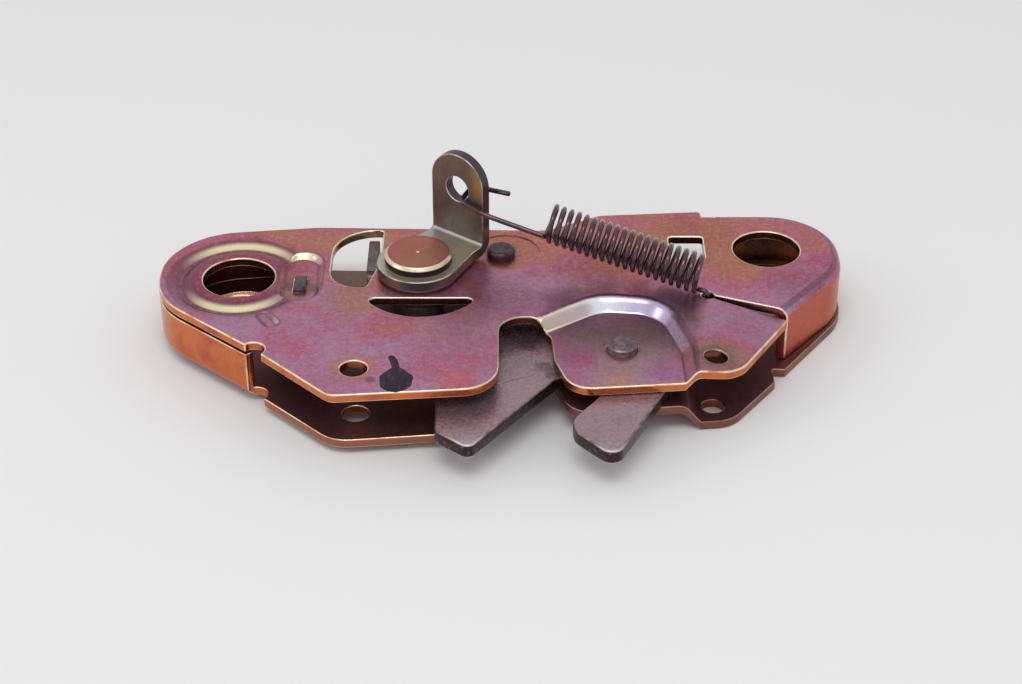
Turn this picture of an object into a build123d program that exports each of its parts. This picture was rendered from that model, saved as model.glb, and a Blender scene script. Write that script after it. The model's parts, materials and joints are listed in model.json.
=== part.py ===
from build123d import *
import math
import os

# Hood latch: two pressed steel plates riveted face to face round a forked catch, with a pawl on a
# through stud, the release lever on the stud's outer end and its tension spring.
# Millimetres. +X runs to the plain mounting hole, +Y to the back edge, +Z up through the front plate.
# The origin is level with the back face of the left end, where the striker's centre line crosses
# the fork pivot's level.

# Sheet and stack
sheet = 2.0                     # both plates
inner_gap = 9.3                 # between the plates, away from the pressed areas
joggle_depth = 2.85             # each plate is pressed in by this round the fork pivot
joggle_run = 2.3                # plan width of that pressed slope
right_drop = 1.6                # the back plate's right end lies this much lower than its left
drop_start = 31.0               # x where it steps down, behind the joggle
press_crest = 2.6               # bend radius at the upper edge of that slope
press_foot = 0.9                # bend radius at its lower edge
flange_bend = 2.4               # outer bend radius of the two end flanges
left_flange_gap = 0.6           # the left flange stops this short of the front plate
right_flange_gap = 0.3          # and the right one of the back plate

# Clearances
running = 0.05                  # radial, turning parts
side_play = 0.2                 # fork to plate, each side
seat = 0.02                     # parts of one body that lie face to face
pass_gap = 0.3                  # parts that sweep past each other

# Throat
throat_width = 10.6
throat_top = 7.8
throat_flare = 8.0
throat_spread = 0.7             # the right side opens this much on its way down

# Main sizes
mount_spacing = 115.1           # between the two mounting holes, along x
left_reach = 17.25              # left mounting hole to the left edge
right_reach = 16.2              # right mounting hole to the front plate's right edge

# Plan places (x, y)
hole_right = (53.45, 35.1)
hole_left = (hole_right[0] - mount_spacing, 23.3)
fork_pivot = (20.25, 0.0)
stud_place = (-22.85, 25.3)
tie_place = (-5.05, 32.9)
strut_from_hole = 13.3          # along x
strut_place = (hole_left[0] + strut_from_hole, 21.8)
tooling_left = (-34.85, -11.2)
tooling_right = (39.15, -6.4)

# Hole sizes
hole_left_diameter = 15.5
hole_right_diameter = 14.7
tooling_left_diameter = 5.6
tooling_right_diameter = 4.8

# Plate outline, front plate: the ends and edges, as corners (x, y, corner radius)
left_edge = hole_left[0] - left_reach
right_edge = hole_right[0] + right_reach
left_end_radius = 17.2
end_radius = 15.0
back_edge_left = 44.4
back_edge_dip = 43.0            # the back edge between the stud and the spring
back_edge_right = 50.5
right_corner_front = 27.6       # where the right edge would meet the sloping front edge
left_back_rise = 0.1            # the left end's back side lies a radius and this from its hole
left_front_fall = 7.9           # where the left edge would meet the sloping front edge
left_corner_back = hole_left[1] + left_end_radius + left_back_rise
left_corner_front = hole_left[1] - left_front_fall
left_back_bend = 15.65          # the back edge bends this far right of the left hole
back_notch_width = 3.0
back_notch_depth = 1.6
back_notch_x = 43.15
relief_radius = 2.4
left_front_corner = (left_edge + 22.9, -4.2)
right_tip = (54.9, 8.0)         # the loose corner's point
left_flange_end = left_edge + 26.9         # the left flange stops here along the back edge
flange_cut_foot = (-8.2, -7.8)  # its front end is cut square, from here to here about that corner
flange_cut_head = (5.1, 10.4)
flange_strip = 4.4              # width of plate that is bent with it
flat_from = -20.0               # x beyond which the left end's own form doesn't reach
right_flange_start = (56.7, 11.6)
back_overhang = 0.5             # back plate beyond the right flange

# Pressings of the front plate
collar_radius = 9.0             # flat left round the left hole
groove_rim = 16.4
groove_depth = 1.2
groove_tail_from = (left_edge + 23.4, 9.6)
groove_tail_end = (left_edge + 25.8, 5.6)
groove_tail_width = 4.4
groove_tail_depth = 0.8
lug_dimple_size = (10.6, 20.4)
lug_dimple_depth = 1.3
lug_dimple_floor = 3.0          # half width of its flat floor
lug_dimple_shift = 2.2          # the dimple's centre lies behind the lug
coin_radius = 7.6
coin_depth = 0.25
coin_shift = (1.0, 0.7)         # its centre lies beside the tie pin
dip_depth = 1.9                 # the loose front corner is set down by this at its tip
dip_hinge_front = (34.9, -16.0)  # the corner bends on a line from here to the slit's inner end
slit_start = (39.15, 16.3)
slit_end = (56.5, 9.6)
slit_width = 0.9
slit_hole_radius = 1.3
window_right_x = (32.15, 39.65)
window_right_y = (31.0, 40.3)
window_corner = 0.8
# Window over the pawl's tab, as corners about the stud's axis
tab_window_corners = [
    (-8.5, 17.6, 0.8),
    (-19.15, 17.6, 9.6),
    (-19.15, -5.9, 6.5),
    (-11.25, -5.9, 1.2),
    (-8.5, 4.7, 3.0),
]
crescent_half_width = 11.9
crescent_shift = 0.8            # its middle lies right of the stud
crescent_depth = 7.2
crescent_chord_y = 15.2
crescent_corner = 1.2

# Pressings of the back plate
ring_inner = 8.6
ring_outer = 12.1
ring_height = 1.1

# Fork
fork_bore = 10.0
fork_lobe = 30.4
fork_root = 28.0
lobe_from = 145.0               # degrees about the pivot, at rest (open)
root_from = 100.0
root_to = 200.0
slot_width = 10.7
slot_direction = 233.4          # degrees, from the slot's round end outwards
slot_end = (-10.3, -11.9)       # centre of the slot's round end, from the pivot
fork_travel = 50.0              # closing turn, clockwise
pawl_drop = 8.0                 # clockwise turn of the pawl from rest to full hold
fork_left_side = 38.4           # left of the pivot; it runs from
fork_left_back = 15.0           # here
fork_left_front = 25.6          # to here, in front of the pivot
left_prong_length = 28.3
right_prong_length = 10.6
spring_hole_polar = (24.0, 115.0)

# Pins and stud
fork_pin_tenon = 6.5
fork_pin_head_height = 1.5
fork_pin_back_head = (10.0, 1.8)
stud_shank = 8.0
stud_head = 14.6
stud_head_height = 2.3
stud_chamfer = 0.9
stud_end_height = 0.15          # the stud's end stays this far inside the back face
tie_body = 5.6
tie_tenon = 4.4
tie_head = 6.2
tie_head_height = 1.9
tie_countersink = 1.3

# End strut with its two lugs
strut_size = (2.6, 9.0)
lug_length = 5.4
lug_height = 1.1

# Release lever
lever_thickness = 2.5
lever_washer_thickness = 0.5
lever_hub = 18.0
washer_diameter = 16.6
spacer_diameter = 12.1
lever_direction = 53.0          # degrees
ear_face = 13.2                 # stud axis to the ear's inner face
ear_width = 14.0
ear_offset = 0.4
ear_top = 36.5                  # height of the ear's top above the back face
ear_hole_height = 28.2
ear_hole = 6.0
ear_bend_outer = 3.4
ear_bend_inner = 1.0

# Pawl
pawl_hub = 13.0
pawl_reach = 22.0
pawl_nose = (-3.0, 1.0)         # lower and upper side of the nose, from the stud's level
pawl_heel_round = 2.2
pawl_tab_thickness = 2.4
pawl_tab_face = 9.3             # stud axis to the tab's near face
pawl_tab_y = (4.5, 17.0)

# Springs
wire = 1.15
lever_spring_outer = 8.8
lever_spring_turns = 20
lever_spring_left = (5.15, 26.4, 25.3)     # centre of the first turn
lever_spring_right = (37.5, 17.1, 17.95)   # centre of the last turn
hook_gap = 0.35                            # spring wire to the ear
hook_overrun = 2.4                         # the left hook's end stands this far past the ear's edge
hook_foot = (-0.6, 3.4)                    # the right hook's end under the plate, from the slit's hole
spring_foot = (-2.6, -0.2)                 # the fork spring's short end, past the pawl's spacer
fork_spring_wire = 1.1
fork_spring_turns = 1.5

# Heights worked out from the stack
back_top = sheet
front_under = sheet + inner_gap
front_top = front_under + sheet
sunk_top = front_top - joggle_depth
sunk_under = sunk_top - sheet
raised_top = back_top + joggle_depth
raised_under = raised_top - sheet
right_back_top = back_top - right_drop
fork_bottom = raised_top + side_play
fork_thickness = sunk_under - raised_top - 2 * side_play
fork_top = fork_bottom + fork_thickness
lever_bottom = front_top + lever_washer_thickness
lever_top = lever_bottom + lever_thickness

far = 120.0                     # larger than the part, for blocks that cut
deep = 40.0                     # larger than its height
on_base = (Align.CENTER, Align.CENTER, Align.MIN)


def polar(centre, radius, degrees):
    """Point at a radius and angle about a centre."""
    angle = math.radians(degrees)
    return (centre[0] + radius * math.cos(angle), centre[1] + radius * math.sin(angle))


def outline(corners):
    """Face inside the corners (x, y, radius); each round corner is an arc tangent to its sides."""
    stretches = []
    for index, (x, y, radius) in enumerate(corners):
        corner = Vector(x, y)
        following = corners[(index + 1) % len(corners)]
        to_last = (Vector(*corners[index - 1][:2]) - corner).normalized()
        to_next = (Vector(*following[:2]) - corner).normalized()
        half = math.radians(to_last.get_angle(to_next)) / 2
        reach = radius / math.tan(half)
        bisector = (to_last + to_next).normalized()
        middle = corner + bisector * (radius / math.sin(half) - radius)
        stretches.append((corner + to_last * reach, middle, corner + to_next * reach, radius))
    edges = []
    for index, (start, middle, end, radius) in enumerate(stretches):
        if radius > 0:
            edges.append(Edge.make_three_point_arc(start, middle, end))
        edges.append(Edge.make_line(end, stretches[(index + 1) % len(stretches)][0]))
    return Face(Wire(edges))


def inset(corners, distance):
    """The same anticlockwise corners moved inwards by a distance, with their radii to match."""
    moved = []
    for index, (x, y, radius) in enumerate(corners):
        corner = Vector(x, y)
        following = corners[(index + 1) % len(corners)]
        to_last = (Vector(*corners[index - 1][:2]) - corner).normalized()
        to_next = (Vector(*following[:2]) - corner).normalized()
        half = math.radians(to_last.get_angle(to_next)) / 2
        outside_corner = to_last.cross(to_next).Z < 0
        side = 1 if outside_corner else -1
        place = corner + (to_last + to_next).normalized() * (side * distance / math.sin(half))
        moved.append((place.X, place.Y, max(radius - side * distance, 0) if radius else 0))
    return moved


def prism(face, low, high):
    """A flat face carried straight up from one height to another."""
    return extrude(Pos(0, 0, low) * face, amount=high - low, dir=(0, 0, 1))


def hole(place, diameter):
    """Cutter for a round hole through everything."""
    return Pos(place[0], place[1], 0) * Cylinder(diameter / 2, 2 * deep)


def ring_form(place, inner, outer, height, depth):
    """Round trough or ridge between two radii, its section one smooth wave."""
    wave = Spline((inner, 0), ((inner + outer) / 2, depth), (outer, 0), tangents=((1, 0), (1, 0)))
    profile = Face(Wire([wave, Line((outer, 0), (inner, 0))]))
    return Pos(place[0], place[1], height) * revolve(Plane.XZ * profile, Axis.Z)


def trough(start, end, width, floor, height, depth):
    """Long dish with round ends: a flat floor, sides that are smooth waves, and the middle drawn straight."""
    half = width / 2
    side = Spline((floor, -depth), (half, 0), tangents=((1, 0), (1, 0)))
    half_section = Face(Wire([Line((0, 0), (0, -depth)), Line((0, -depth), (floor, -depth)), side,
                              Line((half, 0), (0, 0))]))
    section = half_section + mirror(half_section, Plane.YZ)
    run = Vector(*end) - Vector(*start)
    angle = math.degrees(math.atan2(run.Y, run.X))
    middle = extrude(Plane.YZ * section, amount=run.length, dir=(1, 0, 0))
    cap = revolve(Plane.XZ * half_section, Axis.Z)
    dish = middle + cap + Pos(run.length, 0, 0) * cap
    return Pos(start[0], start[1], height) * Rot(0, 0, angle) * dish


def level_edges(block, height):
    """Edges of a block that lie level at a height, without the block's own rim."""
    found = []
    for edge in block.edges():
        box = edge.bounding_box()
        reach = max(abs(box.min.X), abs(box.max.X), abs(box.min.Y), abs(box.max.Y))
        if reach < far - 1 and abs(box.min.Z - height) < 0.01 and abs(box.max.Z - height) < 0.01:
            found.append(edge)
    return found


def pressed_sheet(face, top, area, shift, down=(), up=()):
    """Sheet with one deep pressed area, shifted down or up with rounded bends, and shallower forms.

    Only the sheet's upper side is worked out; the lower side is the same surface, a sheet lower."""
    block = Pos(0, 0, top) * Box(2 * far, 2 * far, deep, align=(Align.CENTER, Align.CENTER, Align.MAX))
    slope = math.degrees(math.atan(joggle_run / abs(shift)))
    form = extrude(Pos(0, 0, top) * outline(area), amount=shift, dir=(0, 0, 1), taper=slope)
    block = block - form if shift < 0 else block + form
    above, below = (top, top + shift) if shift < 0 else (top + shift, top)
    block = fillet(level_edges(block, above), press_crest)
    block = fillet(level_edges(block, below), press_foot)
    for form in down:
        block -= form
    for form in up:
        block += form
    return (block - Pos(0, 0, -sheet) * block) & prism(face, -deep, deep)


def flange_shell(corners, depth):
    """Top sheet and downturned edge of a plate end, with the top at height 0; the first side is open."""
    shells = []
    for distance, bend in ((0, flange_bend), (sheet, flange_bend - sheet)):
        body = prism(outline(inset(corners, distance)), -depth, -distance)
        rim = body.faces().sort_by(Axis.Z)[-1].edges()
        open_side = Vector(*corners[0][:2]) * 0.5 + Vector(*corners[-1][:2]) * 0.5
        bent = [edge for edge in rim if (edge.center() - open_side).length > end_radius]
        shells.append(fillet(bent, bend))
    return shells[0] - shells[1]


# Shared outline corners, anticlockwise seen from above
half_throat = throat_width / 2
left_end = [
    (hole_left[0] + left_back_bend, back_edge_left, left_end_radius),
    (left_edge, left_corner_back, left_end_radius),
    (left_edge, left_corner_front, left_end_radius),
    (left_front_corner[0], left_front_corner[1], 0),
]
throat_round = half_throat - 0.1
throat = [
    (-half_throat, throat_top, throat_round),
    (half_throat, throat_top, throat_round),
    (half_throat + throat_spread, -4.0, throat_flare),
]
right_end = [
    (right_flange_start[0], right_flange_start[1], 0),
    (right_edge, right_corner_front, end_radius),
    (right_edge, back_edge_right, end_radius),
]
front_corners = left_end + [
    (-39.4, -20.8, 3.5),
    (-half_throat, -17.9, throat_flare),
] + throat + [
    (9.4, -14.6, 6.0),
    (43.6, -11.5, 8.0),
    (right_tip[0], right_tip[1], 1.2),
] + right_end + [
    (back_notch_x, back_edge_right, 0),
    (back_notch_x, back_edge_right - back_notch_depth, 0),
    (back_notch_x - back_notch_width, back_edge_right - back_notch_depth, 0),
    (back_notch_x - back_notch_width, back_edge_right + 0.8, 1.0),
    (17.0, 49.6, 8.0),
    (5.0, back_edge_dip, 8.0),
]
right_slope = (right_corner_front - right_flange_start[1]) / (right_edge - right_flange_start[0])
right_run_out = (right_flange_start[0] - 12, right_flange_start[1] - 12 * right_slope, 0)
wide_end = inset([right_run_out] + right_end[1:] + [(0, back_edge_right, 0)], -back_overhang)
back_corners = left_end + [
    (-39.0, -20.8, 8.0),
    (-half_throat, -17.2, throat_flare),
] + throat + [
    (9.4, -15.2, 6.0),
    (42.9, -11.3, 7.0),
    (53.0, 2.4, 0.5),
    (52.7, 7.2, 0.6),
    (55.6, 6.9, 0.5),
] + wide_end[1:3] + [
    (40.0, back_edge_right + back_overhang, 1.0),
    (17.0, 49.0, 8.0),
    (5.0, back_edge_dip, 8.0),
]
joggle_corners = [
    (-2.0, 4.1, 0),
    (-2.0, -30.0, 0),
    (35.4, -30.0, 0),
    (34.9, -2.0, 8.0),
    (30.3, 14.6, 10.0),
    (15.5, 16.3, 11.0),
]


def lug_dimple():
    """Oval depression round the strut's lug."""
    width, length = lug_dimple_size
    half_run = (length - width) / 2
    x, y = strut_place[0], strut_place[1] + lug_dimple_shift
    return trough((x, y - half_run), (x, y + half_run), width, lug_dimple_floor, front_top, lug_dimple_depth)


def slit_level(x):
    """Height in y of the sheared slit's line at a given x."""
    slope = (slit_end[1] - slit_start[1]) / (slit_end[0] - slit_start[0])
    return slit_start[1] + slope * (x - slit_start[0])


def dip_form():
    """Wedge over the loose front corner, hinged on a line from the slit's end to the joggle's front."""
    foot = Vector(*dip_hinge_front)
    hinge = Vector(*slit_start) - foot
    turn = -math.degrees(math.atan2(hinge.X, hinge.Y))
    distance = abs(hinge.normalized().cross(Vector(*right_tip) - foot).Z)
    tilt = math.degrees(math.atan(dip_depth / distance))
    wedge = Box(far / 2, far, deep / 2, align=(Align.MIN, Align.CENTER, Align.MIN))
    wedge = Pos(slit_start[0], slit_start[1], front_top) * Rot(0, 0, turn) * Rot(0, tilt, 0) * wedge
    region = Polygon(slit_start, (dip_hinge_front[0] - 10, -deep), (far, -deep), (far, slit_level(far)),
                     align=None)
    return wedge & prism(region, front_top - deep, front_top + deep)


def slit_cut():
    """The sheared line with a round hole at its inner end."""
    line = Vector(*slit_end) - Vector(*slit_start)
    angle = math.degrees(math.atan2(line.Y, line.X))
    bar = Pos(slit_start[0], slit_start[1]) * Rot(0, 0, angle) * Pos(line.length / 2 + 1, 0)
    bar = bar * Box(line.length + 2, slit_width, 2 * deep)
    return bar + hole(slit_start, 2 * slit_hole_radius)


def right_flange_region():
    """Plan area behind the slit that ends in the bent-down flange."""
    near = (back_notch_x, slit_level(back_notch_x))
    return Polygon(near, (far, slit_level(far)), (far, far), (back_notch_x, far), align=None)


def left_flange_region():
    """Plan area of the left end that carries the bent-up flange, without the middle of the plate."""
    x, y = left_front_corner
    foot = (x + flange_cut_foot[0], y + flange_cut_foot[1])
    head = (x + flange_cut_head[0], y + flange_cut_head[1])
    area = Polygon(foot, head, (left_flange_end, back_edge_left / 2), (left_flange_end, far), (-far, far),
                   (-far, foot[1]), align=None)
    core = outline(inset(left_end + [(flat_from, y, 0), (flat_from, back_edge_left, 0)], flange_strip))
    return area - core


def tab_window():
    """Opening left of the stud: straight to the right and behind, rounded on the left and in front."""
    return Pos(stud_place[0], stud_place[1]) * outline(tab_window_corners)


def square_window():
    """Small window under the spring, with rounded corners."""
    left, right = window_right_x
    near, back = window_right_y
    corners = [(left, near), (right, near), (right, back), (left, back)]
    return outline([(x, y, window_corner) for x, y in corners])


def crescent():
    """Opening in front of the stud: a straight back edge and a bowed front one, with rounded corners."""
    x = stud_place[0] + crescent_shift
    left = Vector(x - crescent_half_width, crescent_chord_y)
    right = Vector(x + crescent_half_width, crescent_chord_y)
    bow = Edge.make_three_point_arc(left, Vector(x, crescent_chord_y - crescent_depth), right)
    block = prism(Face(Wire([bow, Edge.make_line(right, left)])), -deep, deep)
    return fillet(block.edges().filter_by(Axis.Z), crescent_corner)


def through_holes():
    """The holes and slots that both plates share."""
    cutters = hole(hole_left, hole_left_diameter) + hole(hole_right, hole_right_diameter)
    cutters += hole(tooling_left, tooling_left_diameter)
    cutters += hole(tooling_right, tooling_right_diameter)
    cutters += hole(left_front_corner, 2 * relief_radius)
    cutters += hole(fork_pivot, fork_pin_tenon)
    cutters += hole(stud_place, stud_shank + 2 * running)
    cutters += hole(tie_place, tie_tenon)
    return cutters + Pos(strut_place[0], strut_place[1], 0) * Box(strut_size[0], lug_length, 2 * deep)


def make_front_plate():
    """Upper plate: pressed groove, dimple and fork area, dipped corner, right flange, all openings."""
    coin = Pos(tie_place[0] + coin_shift[0], tie_place[1] + coin_shift[1], front_top)
    coin = coin * Cylinder(coin_radius, coin_depth, align=(Align.CENTER, Align.CENTER, Align.MAX))
    tail = trough(groove_tail_from, groove_tail_end, groove_tail_width, groove_tail_width / 8, front_top,
                  groove_tail_depth)
    groove = ring_form(hole_left, collar_radius, groove_rim, front_top, -groove_depth)
    forms = [groove, tail, lug_dimple(), dip_form(), coin]
    plate = pressed_sheet(outline(front_corners), front_top, joggle_corners, -joggle_depth, down=forms)
    region = prism(right_flange_region(), -deep, deep)
    end = [(back_notch_x - 20, back_edge_right, 0), right_run_out] + right_end[1:]
    shell = Pos(0, 0, front_top) * flange_shell(end, front_top - right_back_top - right_flange_gap)
    plate = (plate - region) + (shell & region)
    plate -= prism(tab_window(), -deep, deep) + prism(square_window(), -deep, deep)
    plate -= crescent()
    plate -= slit_cut()
    return plate - through_holes()


def right_step():
    """Space above the back plate's lower right end, its left side sloping like the joggle, clear of that."""
    slope = joggle_run / joggle_depth
    run = right_drop * slope
    section = make_face(Polyline((drop_start, back_top), (drop_start + run, right_back_top),
                                 (far - 1, right_back_top), (far - 1, deep), (drop_start, deep), close=True))
    space = extrude(Plane.XZ * section, amount=far - 1, both=True)
    foot = outline(inset(joggle_corners, -run))
    core = extrude(Pos(0, 0, right_back_top) * foot, amount=right_drop + joggle_depth, dir=(0, 0, 1),
                   taper=math.degrees(math.atan(slope)))
    return space - core


def make_back_plate():
    """Lower plate: raised fork area, rings round the mounting holes, left flange bent up."""
    rings = []
    for place, level in ((hole_left, back_top), (hole_right, right_back_top)):
        rings.append(ring_form(place, ring_inner, ring_outer, level, ring_height))
    plate = pressed_sheet(outline(back_corners), back_top, joggle_corners, joggle_depth,
                          down=[right_step()], up=rings)
    region = prism(left_flange_region(), -deep, deep)
    end = [(flat_from, left_front_corner[1], 0), (flat_from, back_edge_left, 0)] + left_end
    shell = mirror(flange_shell(end, front_under - left_flange_gap), Plane.XY)
    plate = (plate - region) + (shell & region)
    countersink = Cone(tie_tenon / 2 + tie_countersink, tie_tenon / 2, tie_countersink, align=on_base)
    plate -= Pos(tie_place[0], tie_place[1], 0) * countersink
    return plate - through_holes()


def sector(radius, start, stop):
    """Sector of a disc about the origin, between two angles less than half a turn apart."""
    points = [(0, 0)]
    for angle in (start, (start + stop) / 2, stop):
        points.append(polar((0, 0), 4 * radius, angle))
    return Circle(radius) & Polygon(*points, align=None)


def turned(point, degrees):
    """A plan point turned about the origin."""
    angle = math.radians(degrees)
    x, y = point
    return (x * math.cos(angle) - y * math.sin(angle), x * math.sin(angle) + y * math.cos(angle))


def catch_line():
    """A point on the fork's catch face and the face's direction, about the fork pivot, fork at rest."""
    nose = turned((pawl_reach, pawl_nose[0]), -pawl_drop)
    along = turned((0, 1), -pawl_drop)
    x = stud_place[0] + nose[0] + pass_gap * along[1] - fork_pivot[0]
    y = stud_place[1] + nose[1] - pass_gap * along[0] - fork_pivot[1]
    return turned((x, y), fork_travel), turned(along, fork_travel)


def make_fork():
    """Forked catch: two prongs round the striker slot, and a lobe with the notch that the pawl holds."""
    out = Vector(*polar((0, 0), 1, slot_direction))
    left = Vector(out.Y, -out.X)
    half = slot_width / 2
    centre = Vector(*slot_end)
    left_tip = centre + left * half + out * left_prong_length
    right_tip = centre - left * half + out * right_prong_length
    round_left = centre - out * half + left * half
    round_right = centre - out * half - left * half
    back = polar((0, 0), fork_root, root_from)
    notch = polar((0, 0), fork_root - 1, root_to)
    body = outline([
        (notch[0], notch[1], 0),
        (-fork_left_side, -fork_left_back, 2.5),
        (-fork_left_side, -fork_left_front, 3.0),
        (left_tip.X, left_tip.Y, 1.8),
        (round_left.X, round_left.Y, half - 0.05),
        (round_right.X, round_right.Y, half - 0.05),
        (right_tip.X, right_tip.Y, 5.5),
        (-2.6, -34.6, 2.6),
        (13.25, -2.0, 10.0),
        (11.0, 17.5, 9.0),
        (back[0], back[1], 0),
        (-10.0, 10.0, 0),
    ])
    place, along = catch_line()
    face_angle = math.degrees(math.atan2(along[1], along[0]))
    beyond = Rectangle(far, far, align=(Align.CENTER, Align.MIN))
    beyond = Pos(place[0], place[1]) * Rot(0, 0, face_angle) * beyond
    lobe = sector(fork_lobe, lobe_from, root_to) - beyond
    root = sector(fork_root, root_from, root_to)
    solid = prism(body, fork_bottom, fork_top) + prism(root, fork_bottom, fork_top)
    solid += prism(lobe, fork_bottom, fork_top)
    solid -= hole((0, 0), fork_bore + 2 * running)
    solid -= hole(polar((0, 0), *spring_hole_polar), fork_spring_wire + 0.5)
    return Pos(fork_pivot[0], fork_pivot[1], 0) * solid


def make_fork_pin():
    """Shouldered rivet: the fork turns on its middle, its ends are peened over both plates."""
    top = sunk_top + fork_pin_head_height
    head_diameter, head_height = fork_pin_back_head
    pin = turned_pin([
        (head_diameter, raised_under - head_height, raised_under - seat),
        (fork_pin_tenon - 2 * seat, raised_under - seat, raised_top + seat),
        (fork_bore, raised_top + seat, sunk_under - seat),
        (fork_pin_tenon - 2 * seat, sunk_under - seat, top),
    ])
    pin = chamfer(pin.edges().filter_by(GeomType.CIRCLE).sort_by(Axis.Z)[-1:], 0.3)
    pin = fillet(pin.edges().filter_by(GeomType.CIRCLE).sort_by(Axis.Z)[:1], 0.8)
    return Pos(fork_pivot[0], fork_pivot[1], 0) * pin


def turned_pin(steps):
    """Stack of coaxial cylinders, each a diameter with its lower and upper height."""
    shape = None
    for diameter, low, high in steps:
        step = Pos(0, 0, low) * Cylinder(diameter / 2, high - low, align=on_base)
        shape = step if shape is None else shape + step
    return shape


def make_lever_stud():
    """Headed shaft that the lever and the pawl are both fixed to; it turns in the two plates."""
    stud = turned_pin([
        (stud_shank, stud_end_height, lever_top + seat),
        (stud_head, lever_top + seat, lever_top + seat + stud_head_height),
    ])
    rims = stud.edges().filter_by(GeomType.CIRCLE).sort_by(Axis.Z)
    stud = chamfer(rims[-1:], stud_chamfer)
    stud = chamfer(stud.edges().filter_by(GeomType.CIRCLE).sort_by(Axis.Z)[:1], 0.4)
    return Pos(stud_place[0], stud_place[1], 0) * stud


def make_tie_pin():
    """Rivet that ties the two plates, with a low round head in front and a flush countersunk end behind."""
    low = back_top + seat
    high = front_under - coin_depth - seat
    head = front_top - coin_depth + seat
    pin = turned_pin([
        (tie_tenon - 2 * seat, seat, low),
        (tie_body, low, high),
        (tie_tenon - 2 * seat, high, head),
        (tie_head, head, head + tie_head_height),
    ])
    pin = fillet(pin.edges().filter_by(GeomType.CIRCLE).sort_by(Axis.Z)[-1:], tie_head_height * 0.5)
    sunk_end = Cone(tie_tenon / 2 + tie_countersink - 2 * seat, tie_tenon / 2 - seat, tie_countersink - seat,
                    align=on_base)
    pin += Pos(0, 0, seat) * sunk_end
    return Pos(tie_place[0], tie_place[1], 0) * pin


def make_end_strut():
    """Flat strut that stands between the plates, with a lug through each."""
    low = back_top + seat
    high = front_under - lug_dimple_depth - seat
    top = front_top - lug_dimple_depth + lug_height
    width, length = strut_size
    strut = Pos(0, 0, low) * Box(width, length, high - low, align=on_base)
    strut += Pos(0, 0, seat) * Box(width - 2 * seat, lug_length - 2 * seat, top - seat, align=on_base)
    crown = strut.faces().sort_by(Axis.Z)[-1].edges()
    strut = chamfer(crown, 0.35)
    return Pos(strut_place[0], strut_place[1], 0) * strut


def make_release_lever():
    """Flat arm with a round hub and an upright, round-topped ear for the cable and the spring."""
    hub = lever_hub / 2
    half = ear_width / 2
    back_face = ear_face + lever_thickness
    root = ear_face - ear_bend_outer
    arm = Polygon((0, -hub), (root, -half - ear_offset), (root, half - ear_offset), (0, hub), align=None)
    plan = Circle(hub) + arm
    profile = outline([
        (root, lever_bottom, 0),
        (back_face, lever_bottom, ear_bend_outer),
        (back_face, ear_top, 0),
        (ear_face, ear_top, 0),
        (ear_face, lever_top, ear_bend_inner),
        (root, lever_top, 0),
    ])
    ear = Pos(0, half - ear_offset, 0) * extrude(Plane.XZ * profile, amount=ear_width, dir=(0, -1, 0))
    crown = ear.edges().filter_by(Axis.X).filter_by_position(Axis.Z, ear_top - 0.1, ear_top + 0.1)
    ear = fillet(crown, half - 0.1)
    lever = prism(plan, lever_bottom, lever_top) + ear
    bore = Rot(0, 90, 0) * Cylinder(ear_hole / 2, 4 * lever_thickness)
    lever -= Pos(back_face, -ear_offset, ear_hole_height) * bore
    lever -= hole((0, 0), stud_shank + 2 * seat)
    return Pos(stud_place[0], stud_place[1], 0) * Rot(0, 0, lever_direction) * lever


def make_pawl():
    """Pawl fixed to the stud: an arm whose nose drops into the fork's notch, and an upright stop tab."""
    nose_low, nose_high = pawl_nose
    radius = pawl_hub / 2
    tab_far = pawl_tab_face + pawl_tab_thickness
    tab_low, tab_high = pawl_tab_y
    arm = outline([
        (0, -radius * 0.55, 0),
        (pawl_reach * 0.25, nose_low - 0.4, 2.0),
        (pawl_reach, nose_low, 0.4),
        (pawl_reach, nose_high, 1.2),
        (pawl_reach * 0.4, nose_high + 1.6, 6.0),
        (0, radius * 0.9, 0),
    ])
    tail = Polygon((0, -radius * 0.8), (0, radius), (-tab_far, tab_high), (-tab_far, tab_low), align=None)
    pawl = prism(Circle(radius), fork_bottom, fork_top)
    pawl += prism(arm, fork_bottom, fork_top)
    pawl += prism(tail, fork_bottom, fork_top)
    tab_top = front_under - pass_gap
    tab = Pos(-tab_far, (tab_low + tab_high) / 2, fork_bottom)
    tab = tab * Box(pawl_tab_thickness, tab_high - tab_low, tab_top - fork_bottom,
                    align=(Align.MIN, Align.CENTER, Align.MIN))
    pawl += tab
    heel = pawl.edges().filter_by(Axis.Y).filter_by_position(Axis.X, -tab_far - 0.1, -tab_far + 0.1)
    pawl = fillet(heel.filter_by_position(Axis.Z, fork_bottom - 0.1, fork_bottom + 0.1), pawl_heel_round)
    pawl -= hole((0, 0), stud_shank + 2 * seat)
    return Pos(stud_place[0], stud_place[1], 0) * pawl


def make_stud_ring(outer, low, high):
    """Plain ring round the stud between two heights, a seat clear of what it lies between."""
    ring = prism(Circle(outer / 2) - Circle(stud_shank / 2 + running), low + seat, high - seat)
    return Pos(stud_place[0], stud_place[1], 0) * ring


def tube(points, radii, diameter):
    """Round wire along straight runs joined by arcs."""
    path = FilletPolyline(*points, radius=radii)
    section = Plane(path @ 0, z_dir=path % 0) * Circle(diameter / 2)
    return sweep(section, path=path)


def coil(start, end, turns, mean_radius, diameter, first_side):
    """Helical wire round the line from start to end, its first point on the given side of the line."""
    axis = Vector(*end) - Vector(*start)
    side = Vector(*first_side)
    frame = Plane(origin=start, x_dir=side - axis * (side.dot(axis) / axis.dot(axis)), z_dir=axis)
    path = Helix(axis.length / turns, axis.length, mean_radius)
    section = Plane(path @ 0, z_dir=path % 0) * Circle(diameter / 2)
    return frame.location * sweep(section, path=path, is_frenet=True), frame.location * path


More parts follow.
